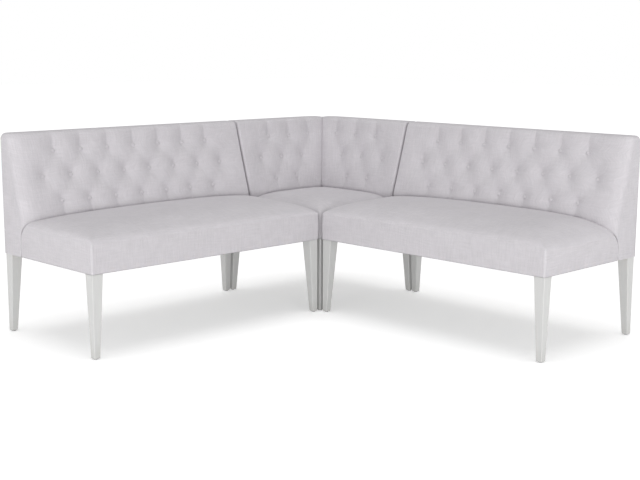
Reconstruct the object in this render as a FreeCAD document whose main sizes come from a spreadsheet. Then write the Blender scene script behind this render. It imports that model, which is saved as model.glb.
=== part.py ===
# Corner banquette in three modules: a square corner seat and two benches, all with diamond-tufted backs.
#
# Every module is drawn in its own frame: x along its length, v the depth from its rear face
# (so y is -v) and z up from the floor. The finished piece is then placed with its module.
import FreeCAD, Part
import math
import os
import re
from FreeCAD import Placement, Rotation, Vector

# Driving dimensions in millimetres; back_rake is the run of the raked back for each unit of rise
SIZES = {
    "bench_length": 1313,
    "module_depth": 711,
    "module_gap": 8,
    "leg_height": 364,
    "leg_top": 54,
    "leg_foot": 29,
    "leg_inset": 5,
    "leg_rear_inset": 1,
    "leg_ease": 2,
    "glide_radius": 10,
    "glide_height": 4,
    "rail_thick": 22,
    "rail_height": 90,
    "pad_thick": 10,
    "cover_thick": 2.5,
    "panel_thick": 2.5,
    "block_reach": 75,
    "block_tip": 12,
    "block_height": 55,
    "bolt_radius": 4,
    "bolt_fit": 0.25,
    "bolt_edge": 10,
    "bolt_into_leg": 40,
    "bolt_proud": 4,
    "nut_radius": 7.5,
    "nut_height": 6.5,
    "strap_width": 50,
    "strap_thick": 2,
    "strap_space": 90,
    "dust_thick": 1.2,
    "dust_lap": 6,
    "dust_fit": 1,
    "seat_face": 114,
    "seat_edge": 28,
    "seat_round": 25,
    "seat_rise": 179,
    "seat_crown": 7,
    "seat_tuck": 146,
    "seat_roll": 40,
    "seat_fall": 60,
    "seat_corner": 20,
    "seam_gap": 2,
    "roll_fit": 9,
    "board_thick": 5,
    "back_foam": 44,
    "back_rake": 0.29,
    "back_round": 28,
    "top_rail_height": 22,
    "top_pad": 24,
    "top_round": 22,
    "row_below": 61,
    "row_pitch": 112,
    "row_above": 86,
    "tuft_pitch": 147.5,
    "tuft_border": 140,
    "tuft_clear": 60,
    "tuft_depth": 14,
    "tuft_floor": 4,
    "tuft_seat": 12,
    "tuft_mouth": 58,
    "pleat_width": 26,
    "pleat_floor": 5,
    "button_radius": 11,
    "button_rim": 3,
    "button_crown": 4,
    "pin_radius": 4,
    "pin_fit": 0.5,
    "pin_into_rail": 25,
    "pin_head_radius": 9,
    "pin_head_height": 3,
    "fork_thick": 3,
    "fork_width": 44,
    "fork_lip": 3,
}

# Places that several pieces share, as formulas of the sizes
RAIL_TOP = "(leg_height + rail_height)"
DECK = "(leg_height + rail_height + 2 * strap_thick)"
RAIL_OUT = "(cover_thick + pad_thick)"
RAIL_IN = "(cover_thick + pad_thick + rail_thick)"
REAR_IN = "(panel_thick + rail_thick)"
CREASE = "(leg_height + seat_rise)"
TOP = "(leg_height + seat_rise + row_below + 2 * row_pitch + row_above)"
FRAME_TOP = f"({TOP} - top_pad)"
POST_TOP = f"({TOP} - top_pad - top_rail_height)"
POST_FOOT = f"({REAR_IN} + back_rake * ({FRAME_TOP} - {CREASE}))"
HALF = "(bench_length / 2)"
SPAN = "(module_depth + module_gap + bench_length)"

doc = FreeCAD.newDocument("corner_banquette")
sheet = doc.addObject("Spreadsheet::Sheet", "sizes")
for row, (alias, number) in enumerate(SIZES.items(), start=1):
    sheet.set(f"A{row}", alias)
    sheet.set(f"B{row}", str(number))
    sheet.setAlias(f"B{row}", alias)
doc.recompute()
size = {alias: float(sheet.get(alias)) for alias in SIZES}
nodes = []


# Helpers that add bound pieces to the document

def linked(formula):
    """The formula with each size's name made a reference to its cell."""
    return re.sub(r"[a-z_]+", lambda word: f"sizes.{word[0]}" if word[0] in SIZES else word[0], formula)


def bind(piece, formulas):
    """Bind properties of a piece to formulas of the sizes."""
    for name, formula in formulas.items():
        piece.setExpression(name, linked(formula))
    return piece


def locate(piece, x, y, z):
    return bind(piece, {"Placement.Base.x": x, "Placement.Base.y": y, "Placement.Base.z": z})


def block(x0, x1, v0, v1, z0, z1):
    """A box between two values of x, depth v and height z."""
    piece = doc.addObject("Part::Box", "block")
    bind(piece, {"Length": f"{x1} - ({x0})", "Width": f"{v1} - ({v0})", "Height": f"{z1} - ({z0})"})
    return locate(piece, x0, f"-({v1})", z0)


def taper(low, high, z0, z1):
    """A prism that runs from one x, v rectangle at z0 to another at z1, each (x0, x1, v0, v1)."""
    piece = doc.addObject("Part::Wedge", "taper")
    piece.Placement = Placement(Vector(), Rotation(Vector(1, 0, 0), 90))
    sides = dict(zip(("Xmin", "Xmax", "Zmin", "Zmax"), low))
    sides.update(zip(("X2min", "X2max", "Z2min", "Z2max"), high))
    return bind(piece, {**sides, "Ymin": z0, "Ymax": z1})


def rod(radius, x, v, z0, z1, sides=8):
    """An upright faceted rod or hole; small round pieces repeat, so they have few sides."""
    piece = doc.addObject("Part::Prism", "rod")
    bind(piece, {"Polygon": str(sides), "Circumradius": radius, "Height": f"{z1} - ({z0})"})
    return locate(piece, x, f"-({v})", z0)


def group(pieces):
    piece = doc.addObject("Part::Compound", "group")
    piece.Links = pieces
    return piece


def cut(base, *tools):
    piece = doc.addObject("Part::Cut", "cut")
    piece.Base = base
    piece.Tool = tools[0] if len(tools) == 1 else group(list(tools))
    return piece


def fuse(*pieces):
    piece = doc.addObject("Part::MultiFuse", "fuse")
    piece.Shapes = list(pieces)
    piece.Refine = True
    return piece


def mirrored(source):
    """The piece on the other arm of the corner, across its diagonal."""
    piece = doc.addObject("Part::Mirroring", "mirrored")
    piece.Source = source
    piece.Normal = Vector(1, 1, 0)
    return piece


def soft(shape):
    """A soft form that is worked out as a shape of its own."""
    piece = doc.addObject("Part::Feature", "soft")
    piece.Shape = shape
    return piece


def node(module, name, *pieces):
    """One named sub-part of a module, placed with that module."""
    piece = group(list(pieces))
    piece.Label = f"{module}_{name}"
    if module == "left_bench":
        piece.Placement = Placement(Vector(), Rotation(Vector(0, 0, 1), 90))
        locate(piece, f"-{SPAN} / 2", "-(module_depth + module_gap) / 2", "0")
    elif module == "right_bench":
        locate(piece, "(module_depth + module_gap) / 2", f"{SPAN} / 2", "0")
    else:
        locate(piece, f"-{SPAN} / 2", f"{SPAN} / 2", "0")
    nodes.append(piece)


# Legs, corner blocks and what fastens them

class Corner:
    """One corner of a seat frame: the rails' inner faces and the leg's outer faces meet there."""

    def __init__(self, x_edge, x_way, v_edge, v_way, x_rear=False, v_rear=False):
        self.x_way, self.v_way = x_way, v_way
        self.x_leg = f"{x_edge} + ({x_way}) * {'leg_rear_inset' if x_rear else 'leg_inset'}"
        self.v_leg = f"{v_edge} + ({v_way}) * {'leg_rear_inset' if v_rear else 'leg_inset'}"
        self.x_rail = f"{x_edge} + ({x_way}) * {REAR_IN if x_rear else RAIL_IN}"
        self.v_rail = f"{v_edge} + ({v_way}) * {REAR_IN if v_rear else RAIL_IN}"
        self.x_bolt = f"{self.x_rail} + ({x_way}) * bolt_edge"
        self.v_bolt = f"{self.v_rail} + ({v_way}) * bolt_edge"

    def square(self, side):
        """Plan extents of a square of this side against the leg's two outer faces."""
        x_far = f"{self.x_leg} + ({self.x_way}) * {side}"
        v_far = f"{self.v_leg} + ({self.v_way}) * {side}"
        x_pair = (self.x_leg, x_far) if self.x_way > 0 else (x_far, self.x_leg)
        v_pair = (self.v_leg, v_far) if self.v_way > 0 else (v_far, self.v_leg)
        return x_pair + v_pair


BENCH_CORNERS = {
    "front": [Corner(f"-{HALF}", 1, "module_depth", -1), Corner(HALF, -1, "module_depth", -1)],
    "rear": [Corner(f"-{HALF}", 1, "0", 1, v_rear=True), Corner(HALF, -1, "0", 1, v_rear=True)],
}
SQUARE_CORNERS = [
    Corner("module_depth", -1, "module_depth", -1),
    Corner("module_depth", -1, "0", 1, v_rear=True),
    Corner("0", 1, "module_depth", -1, x_rear=True),
    Corner("0", 1, "0", 1, x_rear=True, v_rear=True),
]


def leg(place):
    """Square leg: its outer faces stand plumb and its two inner faces taper; edges are eased."""
    blank = taper(place.square("leg_foot"), place.square("leg_top"), "glide_height", "leg_height")
    doc.recompute()
    eased = doc.addObject("Part::Chamfer", "eased")
    eased.Base = blank
    long_edges = [number for number, edge in enumerate(blank.Shape.Edges, start=1)
                  if abs(edge.tangentAt(edge.FirstParameter).z) > 0.5]
    eased.Edges = [(number, size["leg_ease"], size["leg_ease"]) for number in long_edges]
    hole = rod("bolt_radius + bolt_fit", place.x_bolt, place.v_bolt,
               "leg_height - bolt_into_leg", "leg_height + 1")
    return cut(eased, hole)


def corner_block(place):
    """Clipped triangular block glued between two rails and drilled for the leg's bolt."""
    x_wide = f"{place.x_rail} + ({place.x_way}) * block_reach"
    x_tip = f"{place.x_rail} + ({place.x_way}) * block_tip"
    wide = (place.x_rail, x_wide) if place.x_way > 0 else (x_wide, place.x_rail)
    tip = (place.x_rail, x_tip) if place.x_way > 0 else (x_tip, place.x_rail)
    v_tip = f"{place.v_rail} + ({place.v_way}) * block_reach"
    piece = doc.addObject("Part::Wedge", "corner_block")
    far, near = (f"-({v_tip})", f"-({place.v_rail})")
    low, high, y0, y1 = (tip, wide, far, near) if place.v_way > 0 else (wide, tip, near, far)
    bind(piece, {"Xmin": low[0], "Xmax": low[1], "X2min": high[0], "X2max": high[1], "Ymin": y0, "Ymax": y1,
                 "Zmin": "leg_height", "Z2min": "leg_height",
                 "Zmax": "leg_height + block_height", "Z2max": "leg_height + block_height"})
    hole = rod("bolt_radius + bolt_fit", place.x_bolt, place.v_bolt,
               "leg_height - 1", "leg_height + block_height + 1")
    return cut(piece, hole)


def leg_bolt(place):
    """Hanger bolt that stands in the leg, with its nut on top of the corner block."""
    block_top = "leg_height + block_height"
    nut_top = f"{block_top} + nut_height"
    shank = rod("bolt_radius", place.x_bolt, place.v_bolt,
                "leg_height - bolt_into_leg", f"{nut_top} + bolt_proud")
    return fuse(shank, rod("nut_radius", place.x_bolt, place.v_bolt, block_top, nut_top, 6))


def foot_glide(place):
    x = f"{place.x_leg} + ({place.x_way}) * leg_foot / 2"
    v = f"{place.v_leg} + ({place.v_way}) * leg_foot / 2"
    return rod("glide_radius", x, v, "0", "glide_height", 12)


def dust_sheet(x0, x1, v0, v1, places):
    """Thin sheet under the rails, notched round the tops of the legs."""
    sheet_piece = block(x0, x1, v0, v1, "leg_height - dust_thick", "leg_height")
    notches = []
    for place in places:
        a, b, c, d = place.square("leg_top")
        notches.append(block(f"{a} - dust_fit", f"{b} + dust_fit", f"{c} - dust_fit", f"{d} + dust_fit",
                             "leg_height - 2 * dust_thick", "leg_height + dust_thick"))
    return cut(sheet_piece, *notches)


# Back frame: posts, top rail and board

def raked(z):
    """Depth of the front of the back posts at a height above the seat crease."""
    return f"({REAR_IN} + back_rake * ({FRAME_TOP} - ({z})))"


def back_post(x0, x1, foot, behind_rail=False):
    """Upright with a plumb rear and a raked front; a middle post also runs down the rear rail."""
    lower = block(x0, x1, "panel_thick", POST_FOOT, foot, CREASE)
    upper = taper((x0, x1, "panel_thick", POST_FOOT), (x0, x1, "panel_thick", raked(POST_TOP)),
                  CREASE, POST_TOP)
    parts = [lower, upper]
    if behind_rail:
        parts.append(block(x0, x1, REAR_IN, POST_FOOT, "leg_height", foot))
    return fuse(*parts)


def top_rail(x0, x1):
    return block(x0, x1, "panel_thick", REAR_IN, POST_TOP, FRAME_TOP)


def back_board(x0, x1):
    """Plywood board on the fronts of the posts, bent at the seat crease to follow the rake."""
    front, front_top = f"{POST_FOOT} + board_thick", f"{raked(FRAME_TOP)} + board_thick"
    lower = block(x0, x1, POST_FOOT, front, DECK, CREASE)
    upper = taper((x0, x1, POST_FOOT, front), (x0, x1, raked(FRAME_TOP), front_top), CREASE, FRAME_TOP)
    return fuse(lower, upper)


# Heights and depths of the soft forms, in numbers

floor_to_seat = size["leg_height"]
seat_face_top = floor_to_seat + size["seat_face"]
crease = floor_to_seat + size["seat_rise"]
crease_rise = size["seat_rise"] - size["seat_face"] - size["seam_gap"]
rows = [crease + size["row_below"] + k * size["row_pitch"] for k in range(3)]
top = rows[2] + size["row_above"]
shoulder = top - size["top_round"]
deck = floor_to_seat + size["rail_height"] + 2 * size["strap_thick"]
skin = size["cover_thick"]
rail_out = skin + size["pad_thick"]
half_seam = size["seam_gap"] / 2
tuck = size["seat_tuck"]
frame_top = top - size["top_pad"]
rear_in = size["panel_thick"] + size["rail_thick"]
back_layers = size["board_thick"] + size["back_foam"] + size["tuft_floor"]


def post_depth(z):
    """Depth of the raked front of the back posts."""
    return rear_in + size["back_rake"] * (frame_top - z)


def button_depth(z):
    """Depth of the raked plane that the buttons are drawn down to."""
    return post_depth(z) + back_layers


crease_reach = button_depth(crease) + size["tuft_depth"] - tuck

# Share of the seat's full rise that is lost at an open end
END_LOSS = 0.92


def end_share(distance):
    """Share of the seat's full rise at a distance from an open end: it falls off smoothly."""
    return 1 - END_LOSS * math.exp(-distance / size["seat_fall"])


def tucked_share(distance):
    """Share of the seat's full rise at a distance from a side that is tucked under a back."""
    rise = crease_rise - size["seat_roll"] * (1 - distance / crease_reach)
    return min(1, rise / (crease_rise + size["seat_crown"]))


def solid_block(x0, x1, v0, v1, z0, z1):
    return Part.makeBox(x1 - x0, v1 - v0, z1 - z0, Vector(x0, -v1, z0))


def prism(profile, way):
    """Solid of a closed plane outline carried along a vector."""
    return plane_face(profile).extrude(way)


# Four corners of a facet that enclose less than this volume, in cubic millimetres, lie in one plane
FLAT = 1e-3


def plane_face(corners):
    return Part.Face(Part.makePolygon(corners + corners[:1]))


def facets(outlines):
    """Solid with flat facets through outlines of equally many corners, one beyond the other."""
    faces = [plane_face(outlines[0]), plane_face(outlines[-1])]
    for near, far in zip(outlines, outlines[1:]):
        for k in range(len(near)):
            a, b, c, d = near[k - 1], near[k], far[k], far[k - 1]
            if abs((b - a).cross(c - a).dot(d - a)) < FLAT:
                faces.append(plane_face([a, b, c, d]))
            else:
                faces += [plane_face([a, b, c]), plane_face([a, c, d])]
    return Part.Solid(Part.Shell(faces))


# Seats: crowned forms through sections from end to end

# Distances from an end where the seat's sections stand, and those of the form inside it
STATIONS = (0, 12, 40, 120)
INNER_STATIONS = (0, 12, 120)


def seat_section(x, v0, v1, share, inset, base):
    """Closed profile across the seat: base, front, rounded edge, crown, roll and tuck.

    The crown is h(t) = edge + (crease - edge) t + 4 bulge t (1 - t) from the edge to the crease.
    """
    edge, bend = size["seat_edge"], size["seat_round"]
    bulge = (crease_rise - edge) / 2 + size["seat_crown"]
    v_edge, v_crease = v1 - bend, v0 + crease_reach
    turns, steps = ((0, 90), (0.5,)) if inset else ((0, 30, 60, 90), (0.25, 0.5, 0.75))
    outline = []
    for turn in map(math.radians, turns):
        outline.append((v1 - bend * (1 - math.cos(turn)), edge * math.sin(turn)))
    for t in steps:
        crown = edge + (crease_rise - edge) * t + 4 * bulge * t * (1 - t)
        outline.append((v_edge + (v_crease - v_edge) * t, crown))
    outline += [(v_crease, crease_rise), (v0, crease_rise - size["seat_roll"])]
    corners = [Vector(x, -v0, base), Vector(x, -v1, base)]
    return corners + [Vector(x, -v, seat_face_top + share * height - inset) for v, height in outline]


def seat_form(x0, x1, v1, start_share, inset=0, base=floor_to_seat):
    """Seat between two ends: it falls and draws in towards each end, and is crowned between."""
    length = x1 - x0
    stations = INNER_STATIONS if inset else STATIONS
    spots = [(d, start_share(d), d) for d in stations]
    spots += [(length / 2, 1, length / 2)]
    spots += [(length - d, end_share(d), d) for d in reversed(stations)]
    sections = []
    for along, share, from_end in spots:
        drawn = size["seat_corner"] * math.exp(-2 * from_end / size["seat_corner"])
        x = x0 + inset + along * (length - 2 * inset) / length
        sections.append(seat_section(x, tuck + half_seam + inset, v1 - inset - drawn, share, inset, base))
    return facets(sections)


def seat_layers(x0, x1, v1, start_share, tucks, frame):
    """Cover and foam of a seat: the cover is a skin, open below, and the foam caps the frame."""
    below = floor_to_seat - skin
    outer = seat_form(x0, x1, v1, start_share)
    inner = seat_form(x0, x1, v1, start_share, skin, below)
    cover = outer.cut(inner)
    for tuck_side in tucks:
        cover = cover.cut(solid_block(*tuck_side, below, deck))
    foam = inner.cut(solid_block(*frame, below, deck))
    return cover, foam.cut(solid_block(x0, x1, 0, v1, below, floor_to_seat))


# Backs: raked forms through level sections, drawn in at the buttons and along the pleats

OUTWARD = Vector(0, -1, size["back_rake"]).normalize()
# Sides of the faceted buttons and of the hollows that they sit in
BUTTON_SIDES = 8
HOLLOW_SIDES = 12
# A cutter runs on this far beyond the face that it cuts
OVERRUN = 2


def ring(radius, sides, level):
    """Corners of a regular polygon that faces out of the raked back, a level above the button plane."""
    across, up = Vector(1, 0, 0), OUTWARD.cross(Vector(1, 0, 0))
    angles = [2 * math.pi * (k + 0.5) / sides for k in range(sides)]
    return [OUTWARD * level + (across * math.cos(a) + up * math.sin(a)) * radius for a in angles]


class Tufting:
    """Buttons of one back in half-pitch columns from a first one; the outer rows stand between."""

    def __init__(self, first, way, columns, mitred=False):
        self.first, self.way, self.mitred = first, way, mitred
        self.centres = {}
        for row, z in enumerate(rows):
            for column in range(0 if row == 1 else 1, columns + 1, 2):
                x = first + way * column * size["tuft_pitch"] / 2
                if not mitred or x - button_depth(z) > size["tuft_clear"]:
                    self.centres[row, column] = Vector(x, -button_depth(z), z)

    def hollows(self):
        """A flat-floored hollow round every button."""
        floor, mouth = size["tuft_seat"], size["tuft_mouth"]
        high = size["tuft_depth"] + OVERRUN
        reach = floor + (mouth - floor) * high / size["tuft_depth"]
        hollow = facets([ring(floor, HOLLOW_SIDES, 0), ring(reach, HOLLOW_SIDES, high)])
        return [hollow.translated(centre) for centre in self.centres.values()]

    def pleats(self):
        """V-shaped folds from button to button, and from the outer rows to the top and the seat."""
        for (row, column), centre in self.centres.items():
            for side in (-1, 1):
                other = self.centres.get((row + 1, column + side))
                if other:
                    yield self.fold(centre, other - centre)
            if row != 1:
                z = shoulder if row == 2 else crease + size["seam_gap"]
                run = Vector(centre.x, -button_depth(z), z) - centre
                yield self.fold(centre, run + OUTWARD * (size["tuft_depth"] - size["pleat_floor"]))

    def fold(self, start, run):
        across = run.cross(OUTWARD).normalize() * size["pleat_width"] / 2
        low = start + OUTWARD * size["pleat_floor"]
        high = start + OUTWARD * (size["tuft_depth"] + OVERRUN)
        return prism([low, high + across, high - across], run)

    def buttons(self):
        """Fabric-covered buttons, each with a straight rim and a low bevelled crown."""
        radius, rim = size["button_radius"], size["button_rim"]
        crown = rim + size["button_crown"]
        button = facets([ring(radius, BUTTON_SIDES, 0), ring(radius, BUTTON_SIDES, rim),
                         ring(radius - size["button_crown"], BUTTON_SIDES, crown)])
        return Part.makeCompound([button.translated(centre) for centre in self.centres.values()])


def rolled_depth(z, from_end):
    """Furthest depth of the back where it rolls under and tucks in behind the seat."""
    share = end_share(max(from_end, STATIONS[1]))
    low = seat_face_top + share * (crease_rise - size["seat_roll"]) + size["roll_fit"]
    high = seat_face_top + share * crease_rise + size["roll_fit"]
    return tuck - half_seam + crease_reach * min(max((z - low) / (high - low), 0), 1)


def back_levels():
    """Heights of the level sections, each with how far the rounded top draws it in."""
    share, roll = end_share(STATIONS[1]), size["seat_roll"]
    end_tuck = seat_face_top + share * (crease_rise - roll) + size["roll_fit"]
    end_crease = seat_face_top + share * crease_rise + size["roll_fit"]
    low = [floor_to_seat, end_tuck, end_crease, crease - roll, crease - roll / 2, crease]
    bend = size["top_round"]
    return [(z, 0) for z in low] + [(shoulder, 0), (top - 0.3 * bend, 0.3 * bend), (top, 0.9 * bend)]


def back_section(z, inset, x0, x1, both_ends):
    """Level outline of a back: rear, rounded ends and a front that follows the seat below the crease."""
    def depth(from_end):
        proud = button_depth(z) + size["tuft_depth"] + OVERRUN
        return (rolled_depth(z, from_end) if z < crease else proud) - inset

    swell = (depth(0) + inset - tuck) / crease_reach
    bend = skin + (size["back_round"] - skin) * min(max(swell, 0), 1)
    ends = []
    for turn in map(math.radians, (0, 30, 60, 90)):
        ends.append((x1 - inset - bend * (1 - math.sin(turn)), depth(bend) - bend * (1 - math.cos(turn))))
    front = [(x1 - inset - d, depth(d)) for d in reversed(STATIONS[2:])] + ends + [(x1 - inset, 0)]
    other = [(x0 + x1 - x, v) for x, v in reversed(front)] if both_ends else [(x0, 0), (x0, depth(x1 - x0))]
    return [Vector(x, -v, z) for x, v in other + front]


def back_filling(x0, x1):
    """Plain raked form inside the cover, from the outside panel to just behind the buttons."""
    hidden = tuck - half_seam - skin
    levels = [(floor_to_seat - skin, hidden, 0), (crease - size["seat_roll"], hidden, 0)]
    levels += [(z, button_depth(z) - size["tuft_floor"], 0) for z in (crease, shoulder - skin)]
    crest = top - 2 * skin
    levels.append((crest, button_depth(crest) - size["tuft_floor"], 0.9 * size["top_round"]))
    sections = []
    for z, reach, inset in levels:
        plan = [(x0 + skin + inset, size["panel_thick"]), (x1 - skin - inset, size["panel_thick"]),
                (x1 - skin - inset, reach - inset), (x0 + skin + inset, reach - inset)]
        sections.append([Vector(x, -v, z) for x, v in plan])
    return facets(sections)


def frame_space(x0, x1):
    """Room that the posts, rails and board take up behind the back foam."""
    low = floor_to_seat - skin
    front = size["board_thick"]
    profile = [(0, low), (0, frame_top), (post_depth(frame_top) + front, frame_top),
               (post_depth(crease) + front, crease), (post_depth(crease) + front, low)]
    return prism([Vector(x0, -v, z) for v, z in profile], Vector(x1 - x0, 0, 0))


def mitre():
    """Everything beyond the corner's diagonal, less half the seam."""
    reach = 2 * size["module_depth"]
    plan = [Vector(half_seam - reach, reach, 0), Vector(half_seam + reach, -reach, 0),
            Vector(half_seam - reach, -reach, 0)]
    return prism(plan, Vector(0, 0, 2 * top))


def face_trim(x0, x1):
    """Everything in front of the raked face; it leaves one plane for the tufting to be cut in."""
    z0, z1, far = crease - size["seat_roll"] / 2, top + skin, 2 * tuck
    face = [(button_depth(z) + size["tuft_depth"], z) for z in (z0, z1)]
    profile = face + [(far, z1), (far, z0)]
    return prism([Vector(x0, -v, z) for v, z in profile], Vector(x1 - x0, 0, 0))


def back_parts(x0, x1, tufting):
    """Cover and foam of a back; the cover is open below and behind, where the panel goes."""
    ends = not tufting.mitred
    below = floor_to_seat - skin
    outer = facets([back_section(z, inset, x0, x1, ends) for z, inset in back_levels()])
    inner = back_filling(x0 if ends else x0 - 2 * skin, x1)
    panel = solid_block(x0 + skin, x1 - skin, -skin, size["panel_thick"], below, shoulder)
    passage = solid_block(x0 + skin, x1 - skin, size["panel_thick"], 2 * tuck, below, deck)
    tufted = outer.cut(face_trim(x0, x1)).cut(tufting.hollows() + list(tufting.pleats()))
    cover = tufted.cut([inner, panel, passage])
    space = frame_space(x0 + (rail_out if ends else -rail_out), x1 - rail_out)
    foam = inner.cut(space).cut(solid_block(x0 - 2 * skin, x1, 0, 2 * tuck, below, deck))
    return (cover, foam) if ends else (cover.cut(mitre()), foam.cut(mitre()))


# The two benches

def straps(low, high, count_span, layer, lengthwise, other_low, other_high):
    """Evenly spaced webbing straps across a frame, in the lower or the upper layer."""
    count = max(2, int(count_span / size["strap_space"]))
    z0 = f"{RAIL_TOP} + {layer} * strap_thick"
    pieces = []
    for k in range(count):
        middle = f"({low} + ({high} - ({low})) * {(k + 0.5) / count})"
        edges = (f"{middle} - strap_width / 2", f"{middle} + strap_width / 2")
        plan = (other_low, other_high) + edges if lengthwise else edges + (other_low, other_high)
        pieces.append(block(*plan, z0, f"{z0} + strap_thick"))
    return pieces


def connector_pin(x, v):
    """Headed pin that hangs from the end rail and drops into the corner's fork."""
    under = "leg_height - fork_thick - pin_fit"
    shank = rod("pin_radius", x, v, under, "leg_height + pin_into_rail")
    return fuse(shank, rod("pin_head_radius", x, v, f"{under} - pin_head_height", under))


def bench(module, inner_way):
    """One bench; inner_way is the direction along x of the end that meets the corner."""
    half = size["bench_length"] / 2
    out_x, in_x = f"({HALF} - {RAIL_OUT})", f"({HALF} - {RAIL_IN})"
    front_in, front_out = f"(module_depth - {RAIL_IN})", f"(module_depth - {RAIL_OUT})"
    pin_x, pin_v = f"{inner_way} * ({HALF} - {RAIL_OUT} - rail_thick / 2)", "module_depth / 2"
    node(module, "front_rail", block(f"-{out_x}", out_x, front_in, front_out, "leg_height", RAIL_TOP))
    node(module, "rear_rail", block(f"-{out_x}", out_x, "panel_thick", REAR_IN, "leg_height", RAIL_TOP))
    end_rails = []
    for way in (-1, 1):
        ends = (f"-{out_x}", f"-{in_x}") if way < 0 else (in_x, out_x)
        rail = block(*ends, REAR_IN, front_in, "leg_height", f"{RAIL_TOP} + strap_thick")
        if way == inner_way:
            rail = cut(rail, rod("pin_radius", pin_x, pin_v, "leg_height - 1", "leg_height + pin_into_rail"))
        end_rails.append(rail)
    node(module, "end_rails", *end_rails)
    places = BENCH_CORNERS["front"] + BENCH_CORNERS["rear"]
    node(module, "corner_blocks", *[corner_block(place) for place in places])
    for end, pair in BENCH_CORNERS.items():
        node(module, f"{end}_legs", *[leg(place) for place in pair])
    node(module, "leg_bolts", *[leg_bolt(place) for place in places])
    node(module, "foot_glides", *[foot_glide(place) for place in places])
    cross = straps(f"-{in_x}", in_x, size["bench_length"], 0, False, "panel_thick", front_out)
    along = straps("seat_tuck", front_in, size["module_depth"] - tuck, 1, True, f"-{out_x}", out_x)
    node(module, "seat_webbing", *cross, *along)
    depth = size["module_depth"]
    tucks = [(-half + skin, half - skin, 0, tuck + rail_out)]
    frame = (-half + rail_out, half - rail_out, 0, depth - rail_out)
    cover, foam = seat_layers(-half, half, depth, end_share, tucks, frame)
    node(module, "seat_foam", soft(foam))
    node(module, "seat_cover", soft(cover))
    post_foot = f"({RAIL_TOP} + strap_thick)"
    node(module, "back_posts", back_post(f"-{out_x}", f"-{in_x}", post_foot),
         back_post(in_x, out_x, post_foot), back_post("-rail_thick / 2", "rail_thick / 2", RAIL_TOP, True))
    node(module, "back_top_rail", top_rail(f"-{out_x}", out_x))
    node(module, "back_board", back_board(f"-{out_x}", out_x))
    gaps = round((size["bench_length"] - 2 * size["tuft_border"]) / size["tuft_pitch"])
    tufting = Tufting(-gaps * size["tuft_pitch"] / 2, 1, 2 * gaps)
    cover, foam = back_parts(-half, half, tufting)
    node(module, "back_foam", soft(foam))
    node(module, "back_cover", soft(cover))
    node(module, "back_buttons", soft(tufting.buttons()))
    edge_x = f"({HALF} - cover_thick)"
    node(module, "outside_back", block(f"-{edge_x}", edge_x, "0", "panel_thick",
                                       "leg_height", f"{TOP} - top_round"))
    lap = f"({RAIL_IN} - dust_lap)"
    node(module, "dust_cover", dust_sheet(f"-({HALF} - {lap})", f"{HALF} - {lap}", f"{REAR_IN} - dust_lap",
                                          f"module_depth - {lap}", places))
    node(module, "connector_pin", connector_pin(pin_x, pin_v))


# The corner seat

def fork():
    """Steel fork under the corner's side rail; its open slot takes the bench's pin."""
    v0, v1 = "module_depth / 2 - fork_width / 2", "module_depth / 2 + fork_width / 2"
    pin_x = f"(module_depth + module_gap + {RAIL_OUT} + rail_thick / 2)"
    rail_in, rail_out = f"module_depth - {RAIL_IN}", f"module_depth - {RAIL_OUT}"
    mount = block(f"{rail_in} + dust_lap + dust_fit", rail_out, v0, v1,
                  "leg_height - fork_thick", "leg_height")
    tongue = block(rail_out, f"{pin_x} + fork_lip", v0, v1, "leg_height - fork_thick", "leg_height - pin_fit")
    slot = block(pin_x, f"{pin_x} + 2 * fork_lip", "module_depth / 2 - pin_radius - pin_fit",
                 "module_depth / 2 + pin_radius + pin_fit", "leg_height - 2 * fork_thick", "leg_height + 1")
    heel = rod("pin_radius + pin_fit", pin_x, "module_depth / 2",
               "leg_height - 2 * fork_thick", "leg_height + 1")
    return cut(fuse(mount, tongue), fuse(slot, heel))


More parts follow.
